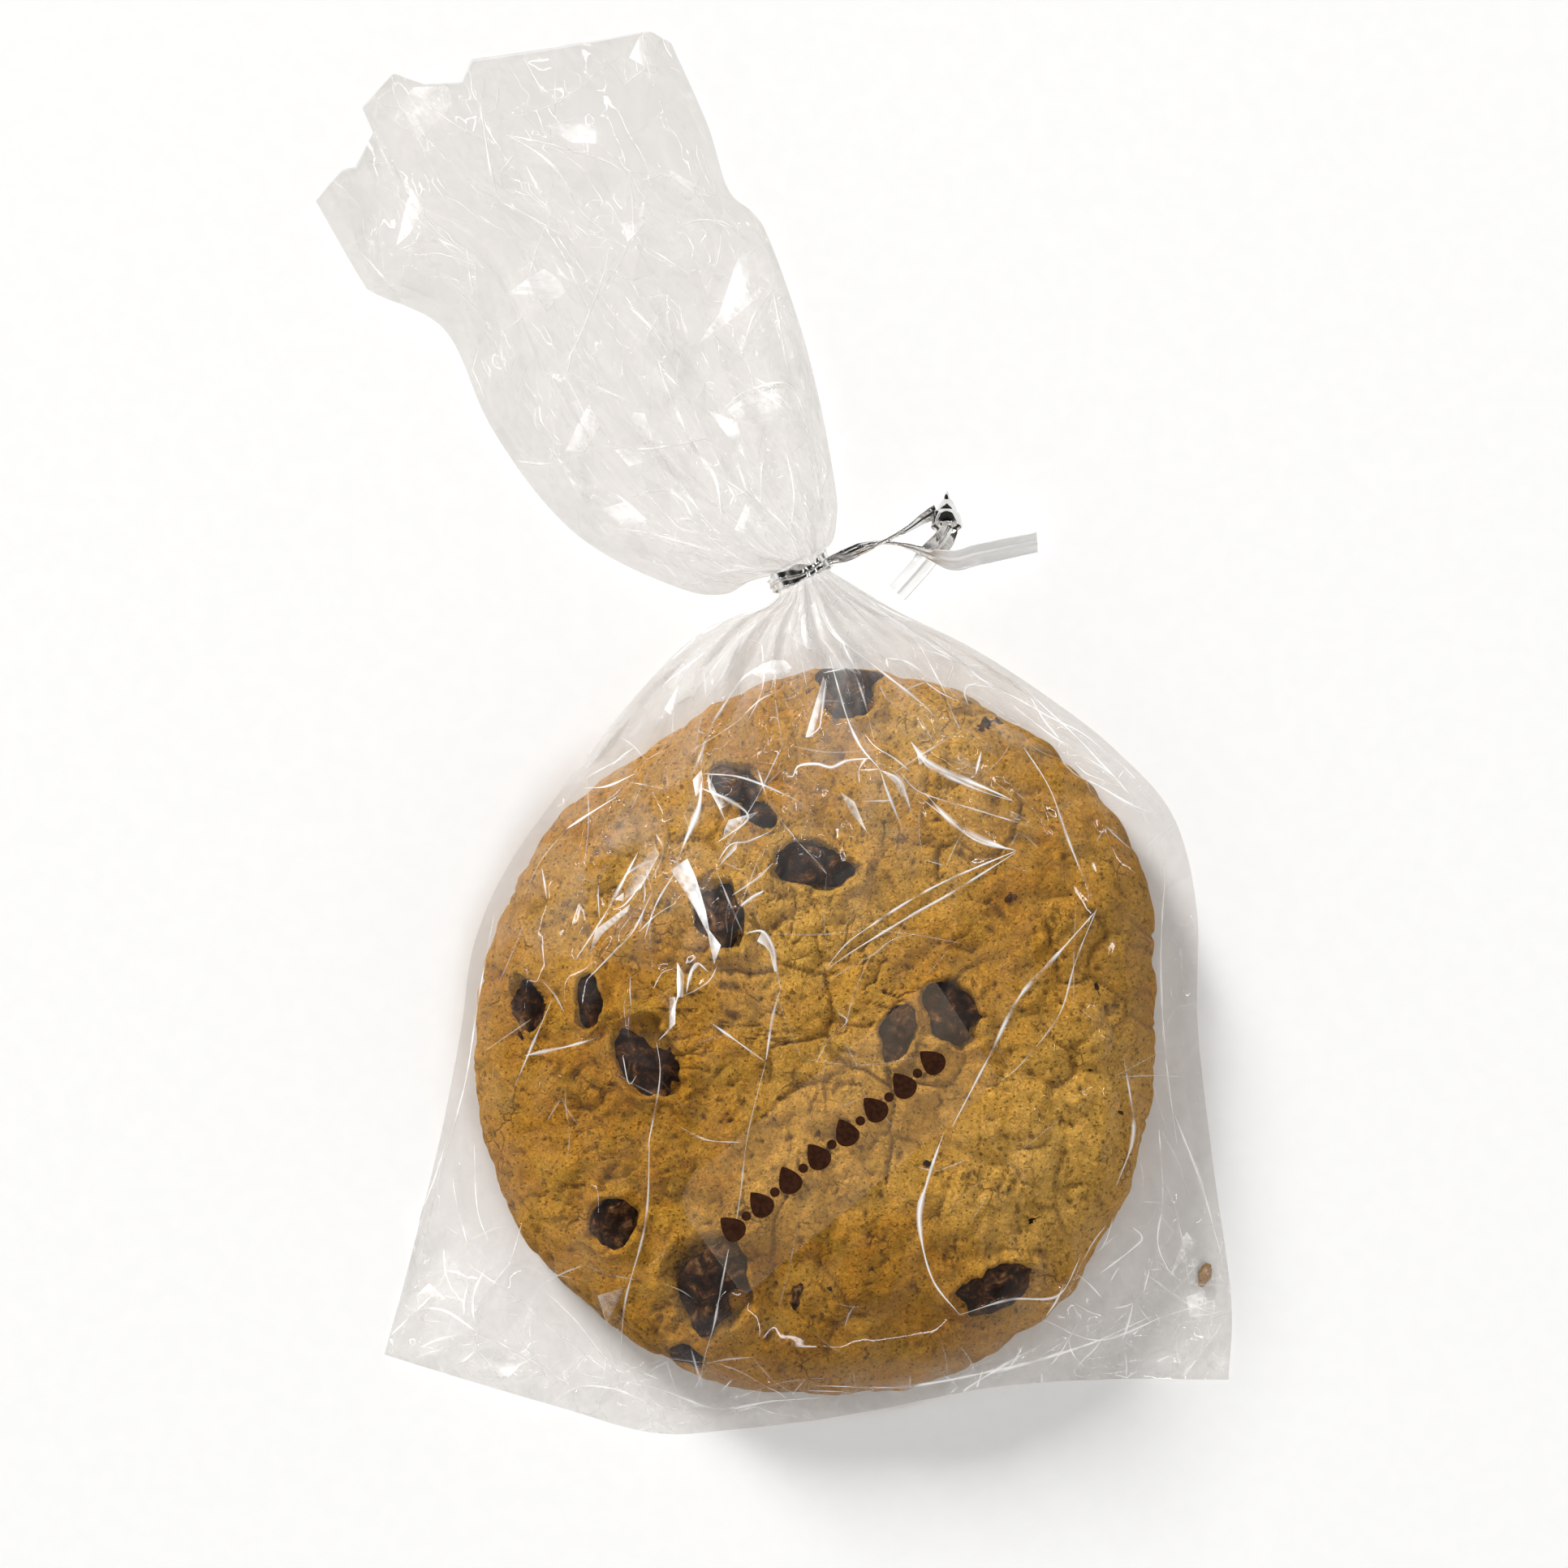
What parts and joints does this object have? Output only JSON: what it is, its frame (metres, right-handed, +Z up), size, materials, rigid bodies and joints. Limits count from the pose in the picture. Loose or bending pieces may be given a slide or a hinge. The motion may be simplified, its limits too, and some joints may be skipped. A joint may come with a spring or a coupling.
{
  "type": "chocolate chip cookie in a clear bag",
  "caption": "Round golden cookie with chocolate chips, lying in a clear film bag that a silver twist tie gathers below its open tail, with a clear label on the film.",
  "frame": {"origin": "on the ground under the middle of the whole piece's box", "axes": "+X across the bag, +Y from the cookie to the open tail of the bag, +Z up, out of the side that carries the label"},
  "size_m": [0.134, 0.205, 0.0185],
  "materials": {
    "film": "clear crumpled film, glossy",
    "crumb": "golden brown baked dough, rough and mottled",
    "chocolate": "dark chocolate, softly glossy",
    "clear_label": "clear adhesive label, slightly milky",
    "label_print": "brown print, matt",
    "silver_strip": "silver foil strip, bright and creased"
  },
  "bodies": {
    "root": {"bag": "film", "label": "clear_label", "tie": "silver_strip"}
  },
  "joints": []
}
